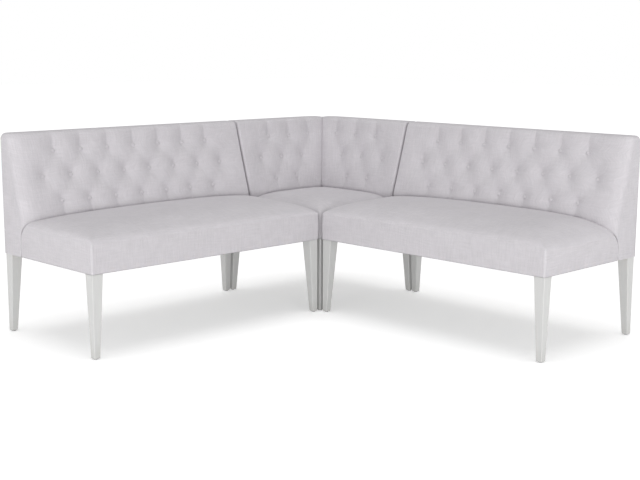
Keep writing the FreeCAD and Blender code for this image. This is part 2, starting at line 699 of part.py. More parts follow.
def corner_seat():
    width = size["module_depth"]
    inner, outer = f"(module_depth - {RAIL_IN})", f"(module_depth - {RAIL_OUT})"
    high = f"{RAIL_TOP} + strap_thick"
    node("corner", "seat_rails",
         block("panel_thick", outer, "panel_thick", REAR_IN, "leg_height", RAIL_TOP),
         block("panel_thick", REAR_IN, REAR_IN, outer, "leg_height", high),
         block(inner, outer, REAR_IN, outer, "leg_height", high),
         block(REAR_IN, inner, inner, outer, "leg_height", RAIL_TOP))
    node("corner", "corner_blocks", *[corner_block(place) for place in SQUARE_CORNERS])
    node("corner", "legs", *[leg(place) for place in SQUARE_CORNERS])
    node("corner", "leg_bolts", *[leg_bolt(place) for place in SQUARE_CORNERS])
    node("corner", "foot_glides", *[foot_glide(place) for place in SQUARE_CORNERS])
    cross = straps("seat_tuck", inner, width - tuck, 0, False, "panel_thick", outer)
    along = straps("seat_tuck", inner, width - tuck, 1, True, "panel_thick", outer)
    node("corner", "seat_webbing", *cross, *along)
    tucks = [(0, width - skin, 0, tuck + rail_out), (0, tuck + rail_out, 0, width - skin)]
    frame = (0, width - rail_out, 0, width - rail_out)
    cover, foam = seat_layers(tuck + half_seam, width, width, tucked_share, tucks, frame)
    node("corner", "seat_foam", soft(foam))
    node("corner", "seat_cover", soft(cover))
    post_foot = f"({RAIL_TOP} + strap_thick)"
    node("corner", "back_posts", back_post(inner, outer, post_foot),
         mirrored(back_post(inner, outer, post_foot)),
         block("panel_thick", REAR_IN, "panel_thick", REAR_IN, RAIL_TOP, FRAME_TOP))
    node("corner", "back_top_rails", top_rail(REAR_IN, outer), mirrored(top_rail(REAR_IN, outer)))
    half_board = back_board(f"{POST_FOOT} + board_thick", outer)
    node("corner", "back_boards", half_board, mirrored(half_board))
    columns = int((width - size["tuft_border"]) / (size["tuft_pitch"] / 2))
    tufting = Tufting(width - size["tuft_border"], -1, columns, True)
    cover, foam = back_parts(0, width, tufting)
    right_foam, right_cover, right_buttons = soft(foam), soft(cover), soft(tufting.buttons())
    node("corner", "left_back_foam", mirrored(right_foam))
    node("corner", "right_back_foam", right_foam)
    node("corner", "left_back_cover", mirrored(right_cover))
    node("corner", "right_back_cover", right_cover)
    node("corner", "back_buttons", right_buttons, mirrored(right_buttons))
    panel_top = f"{TOP} - top_round"
    panel = block("panel_thick", "module_depth - cover_thick", "0", "panel_thick", "leg_height", panel_top)
    node("corner", "outside_backs", panel, mirrored(panel))
    near, far = f"{REAR_IN} - dust_lap", f"module_depth - ({RAIL_IN} - dust_lap)"
    node("corner", "dust_cover", dust_sheet(near, far, near, far, SQUARE_CORNERS))
    right_fork = fork()
    node("corner", "connector_forks", right_fork, mirrored(right_fork))


corner_seat()
bench("left_bench", 1)
bench("right_bench", -1)
doc.recompute()

# Nothing is written unless every object is sound
for item in doc.Objects:
    if "Invalid" in item.State or "Error" in item.State:
        raise RuntimeError(f"{item.Name} {item.Label} failed: {item.State}")
for piece in nodes:
    if piece.Shape.isNull() or not piece.Shape.isValid():
        raise RuntimeError(f"{piece.Label} is not a valid shape")
os.makedirs("parts", exist_ok=True)
for piece in nodes:
    piece.Shape.exportStep(f"parts/{piece.Label}.step")
    print(piece.Label, len(piece.Shape.Solids), "solids", round(piece.Shape.Volume / 1000), "cm3")
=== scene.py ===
"""Looks of a corner banquette: two benches and a square corner, upholstered with diamond-tufted backs.

Shapes are worked out in millimetres in each module's own frame: x along its length, v the depth
from its rear face and z up from the floor. They are placed in metres in the shared frame.
"""
import math

import bpy
import numpy as np
from mathutils import Matrix, Vector


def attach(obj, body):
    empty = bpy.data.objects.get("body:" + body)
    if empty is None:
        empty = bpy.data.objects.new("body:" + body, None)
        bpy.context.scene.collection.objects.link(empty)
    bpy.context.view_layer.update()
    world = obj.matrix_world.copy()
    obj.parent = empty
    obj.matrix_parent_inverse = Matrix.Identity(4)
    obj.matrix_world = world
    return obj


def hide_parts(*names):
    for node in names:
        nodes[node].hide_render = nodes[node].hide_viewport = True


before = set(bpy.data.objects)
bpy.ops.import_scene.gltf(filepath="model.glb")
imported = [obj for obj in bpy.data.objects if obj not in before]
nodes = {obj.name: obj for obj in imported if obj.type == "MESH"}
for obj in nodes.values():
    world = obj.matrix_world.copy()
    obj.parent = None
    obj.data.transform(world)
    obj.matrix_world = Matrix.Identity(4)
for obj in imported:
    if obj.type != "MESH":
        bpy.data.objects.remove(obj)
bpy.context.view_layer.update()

scene = bpy.context.scene
MM = 0.001

# Sizes that the solids have too, in millimetres, with the rake as run for each unit of rise
DEPTH, GAP, LENGTH = 711.0, 8.0, 1313.0
HALF = LENGTH / 2
REACH = (DEPTH + GAP + LENGTH) / 2
SEAT_LOW, FACE_TOP, CREASE, TOP = 364.0, 478.0, 543.0, 914.0
SEAT_ROUND, SEAT_ROLL = 25.0, 40.0
TUCK, SEAM, CREASE_REACH = 146.0, 2.0, 46.0
V_CREASE = TUCK + SEAM / 2 + CREASE_REACH
RAKE, TOP_ROUND = 0.29, 22.0
ROWS = (604.0, 716.0, 828.0)
PITCH, BORDER, CLEAR_OF_MITRE = 147.5, 140.0, 60.0
PANEL = 2.5

# Settling of the covers: frames, air pressure and the furthest that a point may move
SETTLING, PRESSURE, FURTHEST = 20, 4, 7.0


# Places of the modules

def in_right_bench(x, v, z):
    return np.stack([(DEPTH + GAP) / 2 + x, REACH - v, z], -1)


def in_left_bench(x, v, z):
    return np.stack([v - REACH, x - (DEPTH + GAP) / 2, z], -1)


def in_corner(x, v, z):
    return np.stack([x - REACH, REACH - v, z], -1)


def in_corner_mirrored(x, v, z):
    return np.stack([v - REACH, REACH - x, z], -1)


# Finishes

class Flow:
    """A number that runs through a finish; arithmetic on it adds Math nodes."""

    def __init__(self, finish, socket):
        self.finish, self.socket = finish, socket

    def maths(self, operation, *others):
        sockets = dict(enumerate((self,) + others))
        return self.finish.node("ShaderNodeMath", {"operation": operation}, sockets)

    def swapped(self, operation, other):
        return self.finish.node("ShaderNodeMath", {"operation": operation}, {0: other, 1: self})

    def __add__(self, other):
        return self.maths("ADD", other)

    def __radd__(self, other):
        return self.swapped("ADD", other)

    def __sub__(self, other):
        return self.maths("SUBTRACT", other)

    def __rsub__(self, other):
        return self.swapped("SUBTRACT", other)

    def __mul__(self, other):
        return self.maths("MULTIPLY", other)

    def __rmul__(self, other):
        return self.swapped("MULTIPLY", other)


class Finish:
    """A named material whose nodes are added one at a time."""

    def __init__(self, name):
        self.material = bpy.data.materials.new(name)
        self.material.use_nodes = True
        self.tree = self.material.node_tree
        self.shader = self.tree.nodes["Principled BSDF"]

    def put(self, socket, value):
        if isinstance(value, Flow):
            self.tree.links.new(value.socket, socket)
        else:
            socket.default_value = value

    def node(self, kind, settings, sockets, output=0):
        """Adds a node, its settings first, and returns one of its outputs."""
        made = self.tree.nodes.new(kind)
        for key, value in settings.items():
            setattr(made, key, value)
        for key, value in sockets.items():
            self.put(made.inputs[key], value)
        return Flow(self, made.outputs[output])

    def shade(self, **sockets):
        """Sets the shader's sockets, named with underscores for spaces."""
        for key, value in sockets.items():
            self.put(self.shader.inputs[key.replace("_", " ")], value)
        return self

    def place(self):
        """Place on the piece, in metres."""
        return self.node("ShaderNodeTexCoord", {}, {}, "Object")

    def across(self, vector):
        """The x, y and z of a vector."""
        made = self.tree.nodes.new("ShaderNodeSeparateXYZ")
        self.tree.links.new(vector.socket, made.inputs[0])
        return [Flow(self, made.outputs[k]) for k in range(3)]

    def joined(self, x, y, z):
        return self.node("ShaderNodeCombineXYZ", {}, {0: x, 1: y, 2: z})

    def noise(self, vector, scale, detail, rough=0.5):
        sockets = {"Vector": vector, "Scale": scale, "Detail": detail, "Roughness": rough}
        return self.node("ShaderNodeTexNoise", {}, sockets)

    def streaks(self, x, y, z, detail, rough=0.5):
        """Noise over values that are scaled differently each way."""
        return self.noise(self.joined(x, y, z), 1.0, detail, rough)

    def mixed(self, share, low, high):
        """A colour between two others."""
        return self.node("ShaderNodeMix", {"data_type": "RGBA"}, {0: share, 6: low, 7: high}, 2)

    def bump(self, height, strength, distance):
        sockets = {"Height": height, "Strength": strength, "Distance": distance}
        return self.node("ShaderNodeBump", {}, sockets)


def ribbed_cloth():
    """Pale grey linen-like cloth: a plain weave, with thick and thin threads that show as faint streaks."""
    finish = Finish("ribbed_cloth")
    dark, pale = (0.47, 0.453, 0.472, 1), (0.76, 0.732, 0.763, 1)
    thread_pair = 0.0026
    u, v, _ = finish.across(finish.node("ShaderNodeUVMap", {"uv_map": "cloth"}, {}))
    turn = 2 * math.pi / thread_pair
    weave = (u * turn).maths("SINE") * (v * turn).maths("SINE")
    fine = finish.streaks(u * 22.0, v * 300.0, 0.0, 1.0)
    weft = finish.streaks(u * 14.0, v * 150.0, 3.0, 1.0)
    warp = finish.streaks(u * 150.0, v * 14.0, 7.0, 1.0)
    mottle = finish.noise(finish.joined(u, v, 0.0), 7.0, 3.0)
    slubs = (weft + warp) - 1.0
    tone = 0.5 + 0.2 * weave + 0.3 * (fine - 0.5) + 0.3 * slubs + 0.25 * (mottle - 0.5)
    relief = finish.bump(weave + slubs + fine, 0.35, 0.0004)
    finish.shade(Base_Color=finish.mixed(tone, dark, pale), Roughness=0.9 - 0.1 * weave, Normal=relief,
                 Sheen_Weight=0.12, Sheen_Roughness=0.5, Specular_IOR_Level=0.25)
    return finish.material


def leg_paint():
    """Off-white satin paint with faint brush marks and scuffs near the floor."""
    finish = Finish("leg_paint")
    dull, clean, scuffed = (0.60, 0.60, 0.592, 1), (0.645, 0.645, 0.636, 1), (0.48, 0.47, 0.44, 1)
    place = finish.place()
    x, y, z = finish.across(place)
    brush = finish.streaks(x * 260.0, y * 260.0, z * 9.0, 3.0)
    scuff = finish.noise(place, 60.0, 4.0, 0.7)
    low = (1.0 - z * 14.0).maths("MAXIMUM", 0.0)
    worn = (low * scuff * 1.1).maths("MINIMUM", 1.0)
    colour = finish.mixed(worn * 0.5, finish.mixed(brush, dull, clean), scuffed)
    finish.shade(Base_Color=colour, Roughness=0.38 + 0.15 * brush + 0.2 * worn, Specular_IOR_Level=0.45,
                 Normal=finish.bump(brush, 0.12, 0.0004))
    return finish.material


def sawn_wood():
    """Plain sawn hardwood of the hidden frame, with grain along its rings."""
    finish = Finish("sawn_wood")
    dark, pale = (0.46, 0.30, 0.16, 1), (0.62, 0.44, 0.26, 1)
    place = finish.place()
    warped = finish.noise(place, 4.0, 3.0)
    x, y, z = finish.across(place)
    rings = ((x + y + 0.35 * z) * 180.0 + warped * 22.0).maths("SINE") * 0.5 + 0.5
    pores = finish.streaks(x * 60.0, y * 60.0, z * 400.0, 2.0)
    colour = finish.mixed(rings * 0.6 + pores * 0.4, dark, pale)
    finish.shade(Base_Color=colour, Roughness=0.7 + 0.15 * pores, Normal=finish.bump(pores, 0.2, 0.0004))
    return finish.material


def plated_steel():
    """Zinc-plated steel with a fine grain and dull patches."""
    finish = Finish("plated_steel")
    dull, bright = (0.50, 0.51, 0.52, 1), (0.64, 0.65, 0.66, 1)
    place = finish.place()
    grain = finish.noise(place, 400.0, 2.0)
    patch = finish.noise(place, 45.0, 3.0)
    finish.shade(Base_Color=finish.mixed(patch, dull, bright), Metallic=1.0, Roughness=0.3 + 0.25 * patch,
                 Normal=finish.bump(grain, 0.1, 0.0002))
    return finish.material


def moulded_nylon():
    """Grey moulded nylon of the foot glides, scratched by the floor."""
    finish = Finish("moulded_nylon")
    dark, pale = (0.30, 0.30, 0.31, 1), (0.40, 0.40, 0.41, 1)
    x, y, z = finish.across(finish.place())
    scratch = finish.streaks(x * 900.0, y * 120.0, z * 120.0, 3.0)
    finish.shade(Base_Color=finish.mixed(scratch, dark, pale), Roughness=0.45 + 0.25 * scratch,
                 Normal=finish.bump(scratch, 0.15, 0.0003))
    return finish.material


def dust_cloth():
    """Pale grey non-woven cloth with matted fibres."""
    finish = Finish("dust_cloth")
    dark, pale = (0.46, 0.46, 0.46, 1), (0.58, 0.58, 0.575, 1)
    x, y, z = finish.across(finish.place())
    fibre = finish.streaks(x * 350.0, y * 900.0, z * 350.0, 4.0, 0.7)
    finish.shade(Base_Color=finish.mixed(fibre, dark, pale), Roughness=0.95, Specular_IOR_Level=0.2,
                 Normal=finish.bump(fibre, 0.5, 0.0006))
    return finish.material


def elastic_webbing():
    """Brown woven webbing with ribs across the straps."""
    finish = Finish("elastic_webbing")
    dark, pale = (0.16, 0.11, 0.07, 1), (0.34, 0.26, 0.17, 1)
    rib = 0.004
    place = finish.place()
    x, y, _ = finish.across(place)
    ribs = ((x + y) * (2 * math.pi / rib)).maths("SINE") * 0.5 + 0.5
    fuzz = finish.noise(place, 300.0, 2.0)
    colour = finish.mixed(ribs * 0.6 + fuzz * 0.4, dark, pale)
    finish.shade(Base_Color=colour, Roughness=0.9, Normal=finish.bump(ribs, 0.4, 0.0005))
    return finish.material


CLOTH = ribbed_cloth()


# Surfaces

# Lines of a lattice within each bend
BEND_LINES = 8


def graded(low, high, step, bend_low, bend_high):
    """Values from low to high, close together within a bend of each end and a step apart between."""
    turn = np.linspace(0, math.pi / 2, BEND_LINES + 1)[:-1]
    start = low + bend_low * (1 - np.cos(turn))
    end = (high - bend_high * (1 - np.cos(turn)))[::-1]
    count = max(2, int(round((high - bend_high - low - bend_low) / step)) + 1)
    return np.concatenate([start, np.linspace(low + bend_low, high - bend_high, count), end])


def rounded_off(distance, radius):
    """How far a surface draws back at a distance from a rounded edge: r - sqrt(r^2 - (r - d)^2)."""
    near = np.clip(1 - distance / radius, 0, 1)
    return radius * (1 - np.sqrt(np.clip(1 - near * near, 0, 1)))


def faded_in(distance, run):
    """A share that grows from 0 with the distance: 1 - exp(-(distance / run)^2)."""
    return 1 - np.exp(-(np.clip(distance, 0, None) / run) ** 2)


def skin(a, b, c):
    """Outside of a box of lattice values: its points, and its six sides as grids of point numbers."""
    counts = (len(a), len(b), len(c))
    outside = np.ones(counts, bool)
    outside[1:-1, 1:-1, 1:-1] = False
    number = np.full(counts, -1)
    number[outside] = np.arange(outside.sum())
    points = np.stack(np.meshgrid(a, b, c, indexing="ij"), -1)[outside]
    low = [number[0].T, number[:, 0], number[:, :, 0].T]
    high = [number[-1], number[:, -1].T, number[:, :, -1]]
    return points, low + high


def run_lengths(spots, axis):
    """Length of cloth from the first line of a grid of points to each point, along one of its ways."""
    steps = np.linalg.norm(np.diff(spots, axis=axis), axis=2)
    return np.insert(np.cumsum(steps, axis=axis), 0, 0, axis=axis)


def cloth_piece(name, places, sides, body):
    """A closed mesh from points in millimetres and grids of their numbers, covered in cloth.

    The cloth map of each grid is the length of cloth along its two ways, so threads stay even.
    """
    quads, maps = [], []
    for side in sides:
        spots = places[side] * MM
        flat = np.stack([run_lengths(spots, 0), run_lengths(spots, 1)], -1)
        for grid, kept in ((side, quads), (flat, maps)):
            kept.append(np.stack([grid[:-1, :-1], grid[1:, :-1], grid[1:, 1:], grid[:-1, 1:]], 2))
    quads = np.concatenate([grid.reshape(-1, 4) for grid in quads])
    maps = np.concatenate([grid.reshape(-1, 4, 2) for grid in maps])
    corners = (places * MM)[quads]
    if np.einsum("ij,ij->", corners[:, 0], np.cross(corners[:, 1], corners[:, 2])) < 0:
        quads, maps = quads[:, ::-1], maps[:, ::-1]
    mesh = bpy.data.meshes.new(name)
    mesh.from_pydata((places * MM).tolist(), [], quads.tolist())
    mesh.uv_layers.new(name="cloth").data.foreach_set("uv", maps.reshape(-1))
    mesh.polygons.foreach_set("use_smooth", np.ones(len(quads), bool))
    mesh.materials.append(CLOTH)
    piece = bpy.data.objects.new(name, mesh)
    scene.collection.objects.link(piece)
    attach(piece, body)
    return piece


def settle(piece, held, share):
    """Lets the cover swell under light pressure where it isn't held, then keeps the settled shape.

    A point's move m is kept as m / sqrt(1 + (m / most)^2), so that none goes further than most,
    times a share that fades it out towards the piece's edges.
    """
    mesh = piece.data
    piece.vertex_groups.new(name="held").add(np.flatnonzero(held).tolist(), 1.0, "REPLACE")
    cloth = piece.modifiers.new("settling", "CLOTH")
    cloth.settings.vertex_group_mass = "held"
    cloth.settings.quality = 5
    cloth.settings.tension_stiffness = 12
    cloth.settings.compression_stiffness = 12
    cloth.settings.shear_stiffness = 4
    cloth.settings.bending_stiffness = 0.4
    cloth.settings.use_pressure = True
    cloth.settings.uniform_pressure_force = PRESSURE
    cloth.settings.effector_weights.gravity = 0
    cloth.collision_settings.use_collision = False
    cloth.point_cache.frame_start, cloth.point_cache.frame_end = 1, SETTLING
    for moment in range(1, SETTLING + 1):
        scene.frame_set(moment)
    settled = piece.evaluated_get(bpy.context.evaluated_depsgraph_get()).to_mesh()
    before, after = np.empty(len(mesh.vertices) * 3), np.empty(len(mesh.vertices) * 3)
    mesh.vertices.foreach_get("co", before)
    settled.vertices.foreach_get("co", after)
    move = (after - before).reshape(-1, 3)
    length = np.linalg.norm(move, axis=1, keepdims=True)
    move *= np.reshape(share, (-1, 1)) / np.sqrt(1 + (length / (FURTHEST * MM)) ** 2)
    piece.modifiers.remove(cloth)
    piece.vertex_groups.clear()
    scene.frame_set(1)
    mesh.vertices.foreach_set("co", before + move.reshape(-1))
    mesh.update()


# Seats

# Levels of a seat's walls, as shares of its height
WALL_SHARES = np.array([0, 0.01, 0.03, 0.07, 0.14, 0.24, 0.35, 0.46, 0.57,
                        0.68, 0.78, 0.87, 0.94, 0.98, 1])
# Lattice of a seat, the rounding of its lower edge and how far its walls swell
SEAT_STEP, REAR_BEND, HEM_ROUND, SWELL = 10.0, 12.0, 3.0, 2.0
# Corner radii in plan: at the rear, at a bench's inner and free ends, and the corner module's open one
REAR_CORNER, JOIN_CORNER, FREE_CORNER, OPEN_CORNER = 1.5, 7.0, 8.0, 24.0
# Profiles: a start height, then rolls and rises as pairs of a height and the run that it takes
FRONT_ROLL, FRONT_RISE = (32.0, 16.0), (52.0, 150.0)
CROWN, CROWN_SPAN = 6.0, 640.0
JOIN_START, JOIN_BACK, JOIN_ROLL, JOIN_RISE = FACE_TOP + 8.0, (36.0, 130.0), (12.0, 5.0), (34.0, 300.0)
OPEN_START, OPEN_ROLL, OPEN_RISE = FACE_TOP - 22.0, (48.0, 18.0), (50.0, 110.0)
# The free ends of the left bench, whose way to the corner is 1 along x, and of the right, -1
FREE_ENDS = {1: (490.0, (35.0, 22.0), (34.0, 350.0)), -1: (468.0, (44.0, 60.0), (54.0, 200.0))}
# Crown of the corner's seat, and how it falls towards the mitre
CORNER_TOP, MITRE_FALL, MITRE_RUN = 556.0, 16.0, 90.0
# A seat rolls under from PRESSED behind its crease, by a power of the way back
PRESSED, ROLL_POWER = 9.0, 1.5
# Length over which two heights are blended
BLEND = 7.0
# Settling starts past the crease and grows with the way in from a seat's edges
CREASE_HELD, SEAT_FADE = 10.0, 90.0
# A point this close to a side of the lattice is on it
ON_SIDE = 1e-6


def least(a, b):
    """The lower of two heights, blended where they are close: -k ln(exp(-a / k) + exp(-b / k))."""
    return -BLEND * np.logaddexp(-a / BLEND, -b / BLEND)


def roll(distance, height, run):
    """A soft edge: height sqrt(1 - exp(-distance / run))."""
    return height * np.sqrt(1 - np.exp(-distance / run))


def rise(distance, height, run):
    """A slow rise: height (1 - exp(-distance / run))."""
    return height * (1 - np.exp(-distance / run))


def front_height(f):
    """Height of the seat at a distance behind its front: a soft edge, a long rise, a shallow crown."""
    crown = CROWN * np.sin(math.pi * f / CROWN_SPAN)
    return FACE_TOP + roll(f, *FRONT_ROLL) + rise(f, *FRONT_RISE) + crown


def end_height(e, start, edge, slope):
    """Height of a bench's seat at a distance from its free end."""
    return start + roll(e, *edge) + rise(e, *slope)


def join_height(e, f):
    """The same at the end that meets the corner, where the edge also rises with the way back f."""
    return JOIN_START + rise(f, *JOIN_BACK) + roll(e, *JOIN_ROLL) + rise(e, *JOIN_RISE)


def open_height(e):
    """Height of the corner's seat at a distance from an open side."""
    return OPEN_START + roll(e, *OPEN_ROLL) + rise(e, *OPEN_RISE)


def roll_behind(v):
    """Fall of the seat behind its crease."""
    return SEAT_ROLL * np.clip((V_CREASE - PRESSED - v) / (CREASE_REACH - PRESSED), 0, 1) ** ROLL_POWER


def bench_top(x, f, inner):
    """Height that a bench's front and its two ends allow; inner is the way along x to the corner."""
    ends = least(end_height(HALF + inner * x, *FREE_ENDS[inner]), join_height(HALF - inner * x, f))
    return least(front_height(f), ends)


def square_to_round(x, v, middle, half, radius):
    """Plan of a box with its corners brought in to quarter circles by the elliptical square-to-disc map."""
    a = np.clip(np.abs(x - middle[0]) - (half[0] - radius), 0, radius) / radius
    b = np.clip(np.abs(v - middle[1]) - (half[1] - radius), 0, radius) / radius
    x_out = x - np.sign(x - middle[0]) * radius * a * (1 - np.sqrt(1 - b * b / 2))
    v_out = v - np.sign(v - middle[1]) * radius * b * (1 - np.sqrt(1 - a * a / 2))
    return x_out, v_out


def seat_piece(name, placing, ends, height, radius, body):
    """A tight seat: walls from the rails up to a crowned top, all corners soft.

    Height is z = low + c (top(x, v) - low) for a wall share c, and the walls swell by sin^2(pi c).
    """
    x0, x1 = ends[0] + SWELL, ends[1] - SWELL
    v0, v1 = TUCK + SEAM / 2, DEPTH - SWELL
    across = graded(x0, x1, SEAT_STEP, SEAT_ROUND, SEAT_ROUND)
    deep = graded(v0, v1, SEAT_STEP, REAR_BEND, SEAT_ROUND)
    points, sides = skin(across, deep, WALL_SHARES)
    x, v, c = points.T
    z = SEAT_LOW + c * (height(x, v) - SEAT_LOW)
    middle, half = ((x0 + x1) / 2, (v0 + v1) / 2), ((x1 - x0) / 2, (v1 - v0) / 2)
    out = SWELL * np.sin(math.pi * c) ** 2 - rounded_off(z - SEAT_LOW, HEM_ROUND)
    x_side = np.where(np.abs(np.abs(x - middle[0]) - half[0]) < ON_SIDE, np.sign(x - middle[0]), 0)
    v_side = np.where(np.abs(v - v1) < ON_SIDE, 1, 0)
    x, v = square_to_round(x, v, middle, half, radius(x, v))
    piece = cloth_piece(name, placing(x + x_side * out, v + v_side * out, z), sides, body)
    inside = np.minimum(np.minimum(x - x0, x1 - x), np.minimum(v1 - v, v - V_CREASE - CREASE_HELD))
    settle(piece, (c < 1) | (inside < 0), faded_in(inside, SEAT_FADE))
    return piece


def bench_seat(name, placing, inner, body):
    def height(x, v):
        return bench_top(x, DEPTH - np.maximum(v, V_CREASE), inner) - roll_behind(v)

    def radius(x, v):
        return np.where(v < DEPTH / 2, REAR_CORNER, np.where(inner * x > 0, JOIN_CORNER, FREE_CORNER))

    return seat_piece(name, placing, (-HALF, HALF), height, radius, body)


def corner_crown(x):
    """Height along one side of the corner's seat: it falls to the open end and towards the mitre."""
    behind = CORNER_TOP - MITRE_FALL * np.exp(-np.clip(x - V_CREASE, 0, None) / MITRE_RUN)
    return least(open_height(DEPTH - x), behind)


def corner_seat(name, placing, body):
    """The corner's crown falls the same way to both open sides and rolls under both backs."""
    def height(x, v):
        return least(corner_crown(x), corner_crown(v)) - roll_behind(v) - roll_behind(x)

    def radius(x, v):
        return np.where((x > DEPTH / 2) & (v > DEPTH / 2), OPEN_CORNER, REAR_CORNER)

    return seat_piece(name, placing, (TUCK + SEAM / 2 - SWELL, DEPTH), height, radius, body)


# Backs

# Depth of the plane that the buttons are drawn down to at a height, and each row's pull behind it
PLANE_DEPTH, PLANE_HEIGHT = 181.0, 529.0
PULL = (2.0, 7.0, 2.0)
# Buttons of two rows are neighbours within this distance along the back
NEIGHBOUR = 0.6 * PITCH
# Padding between the buttons, and each hollow's flat middle, reach, power and stretch upwards
PAD, HOLLOW_FLAT, HOLLOW_REACH, HOLLOW_POWER, HOLLOW_STRETCH = 18.0, 8.0, 34.0, 0.85, 1.25
# Slanting folds: depth midway, what the buttons add, over which share of the run, width and softness
SLANT_DEPTH, SLANT_ADDED, SLANT_SHARE, SLANT_WIDTH, SLANT_SOFT = 2.0, 4.0, 0.24, 15.0, 4.0
# Upright folds to the top edge and the seat: depth, width at the button, widening, softness and ends
UPRIGHT_DEPTH, UPRIGHT_WIDTH, UPRIGHT_WIDENING, UPRIGHT_SOFT = 8.5, 14.0, 5.0, 3.0
UPRIGHT_TOP, UPRIGHT_FOOT = TOP - 8.0, CREASE - 10.0
# Folds fade within this distance of a button, and the cover is held down within the other
FOLD_FADE, BUTTON_HELD = 11.0, 11.0
# Rounding of a bench's free end, along it and in depth, and of an end that meets another module
END_ROUND, END_DEPTH, JOIN_ROUND = 85.0, 44.0, 14.0
# Rear of the cover, just before the outside panel, and its roundings at the top and the ends
REAR, REAR_TOP_ROUND, REAR_END_ROUND = PANEL + 0.4, 5.0, 4.0
# The back rolls under from SEAT_PRESS below the seat's crown; its hidden ends are rounded this much
SEAT_PRESS, HIDDEN_ROUND = 6.0, 1.5
# Fall of the top edge at a free end and at a join, and the height that it fades over
END_SHOULDER, JOIN_SHOULDER, SHOULDER_FADE = 24.0, 10.0, 60.0
# Seam of the corner: gap, depth and width of its valley, and depth and width of the dip of its top
MITRE, VALLEY, VALLEY_WIDTH, DIP, DIP_WIDTH = 0.2, 11.0, 11.0, 9.0, 45.0
SEAM_HELD = 12.0
# Lattice: where it gets close below the seat, its bend there, room beside bends, and counts of lines
BACK_LOW, LOW_BEND, BESIDE_BEND = FACE_TOP - 20.0, 20.0, 3.0
LOW_LINES, DEPTH_LINES, ROW_LINES, COLUMN_LINES, CORNER_STEP, SEAM_BEND = 6, 6, 12, 8, 7.0, 12.0
GATHER = 0.09
# Settling: held above the seat and below the top, and the height that it grows over
FOOT_HELD, TOP_HELD, BACK_FADE = 20.0, 25.0, 70.0


def button_depth(z):
    """Raked plane that the buttons are drawn down to."""
    return PLANE_DEPTH - RAKE * (z - PLANE_HEIGHT)


def bench_buttons():
    """Buttons of a bench as x, z and row; the middle row has one more than the others."""
    gaps = round((LENGTH - 2 * BORDER) / PITCH)
    spots = []
    for row, z in enumerate(ROWS):
        count = gaps + 1 if row == 1 else gaps
        spots += [((k - (count - 1) / 2) * PITCH, z, row) for k in range(count)]
    return spots


def corner_buttons():
    """Buttons of half the corner, from its open end as far as they stay clear of the mitre."""
    spots = []
    for row, z in enumerate(ROWS):
        x = DEPTH - BORDER - (0 if row == 1 else PITCH / 2)
        while x - button_depth(z) > CLEAR_OF_MITRE:
            spots.append((x, z, row))
            x -= PITCH
    return spots


def from_line(x, z, start, end):
    """Distance to a straight run between two points, and the share of the way along it."""
    run = np.subtract(end, start)
    along = np.clip(((x - start[0]) * run[0] + (z - start[1]) * run[1]) / (run @ run), 0, 1)
    return np.hypot(x - start[0] - along * run[0], z - start[1] - along * run[1]), along


def quilt(x, z, spots):
    """Height of the padding above the button plane.

    It is the pad, less hollows (pad + p) exp(-((d - flat) / (reach + p))^power) at a distance d from
    each button, with d measured shorter up and down than across and p the row's pull, joined as the
    cube root of the sum of their cubes. It is less folds too: soft valleys exp(-d / width) along the
    runs between neighbouring buttons and from the outer rows to the top edge and the seat, joined by
    fourth powers and fading at a button.
    """
    hollows, folds = np.zeros(x.shape), np.zeros(x.shape)
    nearest = np.full(x.shape, np.inf)
    for bx, bz, row in spots:
        nearest = np.minimum(nearest, np.hypot(x - bx, z - bz))
        away = np.clip(np.hypot(x - bx, (z - bz) / HOLLOW_STRETCH) - HOLLOW_FLAT, 0, None)
        hollow = np.exp(-(away / (HOLLOW_REACH + PULL[row])) ** HOLLOW_POWER)
        hollows += ((PAD + PULL[row]) * hollow) ** 3
        for ox, oz, other in spots:
            if other == row + 1 and abs(ox - bx) < NEIGHBOUR:
                away, along = from_line(x, z, (bx, bz), (ox, oz))
                added = np.exp(-along / SLANT_SHARE) + np.exp((along - 1) / SLANT_SHARE)
                depth = SLANT_DEPTH + SLANT_ADDED * added
                folds += (depth * np.exp(-np.hypot(away, SLANT_SOFT) / SLANT_WIDTH)) ** 4
        if row != 1:
            end = UPRIGHT_TOP if row == 2 else UPRIGHT_FOOT
            away, along = from_line(x, z, (bx, bz), (bx, end))
            width = UPRIGHT_WIDTH + UPRIGHT_WIDENING * along
            folds += (UPRIGHT_DEPTH * np.exp(-np.hypot(away, UPRIGHT_SOFT) / width)) ** 4
    return PAD - np.cbrt(hollows) - folds ** 0.25 * faded_in(nearest, FOLD_FADE)


def back_front(x, z, crease, spots, rounding):
    """Front of a back: the raked plane and its quilting, rolled under behind the seat and rounded off."""
    kept = 1 - np.clip((crease - SEAT_PRESS - z) / SEAT_ROLL, 0, 1) ** (1 / ROLL_POWER)
    quilted = button_depth(np.maximum(z, CREASE)) + quilt(x, z, spots)
    open_face = quilted - rounding - rounded_off(TOP - z, TOP_ROUND)
    hidden = TUCK + SEAM / 4 - np.minimum(rounding, HIDDEN_ROUND)
    return hidden + (open_face - hidden) * kept


def back_rear(z, from_end):
    """Rear face of a back, rounded at the top and at its ends."""
    return REAR + rounded_off(TOP - z, REAR_TOP_ROUND) + rounded_off(from_end, REAR_END_ROUND)


def lowered(z, fall):
    """Heights with the top edge brought down, which fades out below it."""
    return z - fall * np.clip((z - TOP + SHOULDER_FADE) / SHOULDER_FADE, 0, 1)


def gathered(low, high, button, pitch, count):
    """Values between low and high in runs of a pitch from a button, close together next to the buttons.

    A share u of a run lies at u - 0.09 sin(2 pi u) of it.
    """
    u = np.arange(math.ceil((low - button) / pitch * count), (high - button) / pitch * count) / count
    spots = button + pitch * (u - GATHER * np.sin(2 * math.pi * u))
    return spots[(spots > low) & (spots < high)]


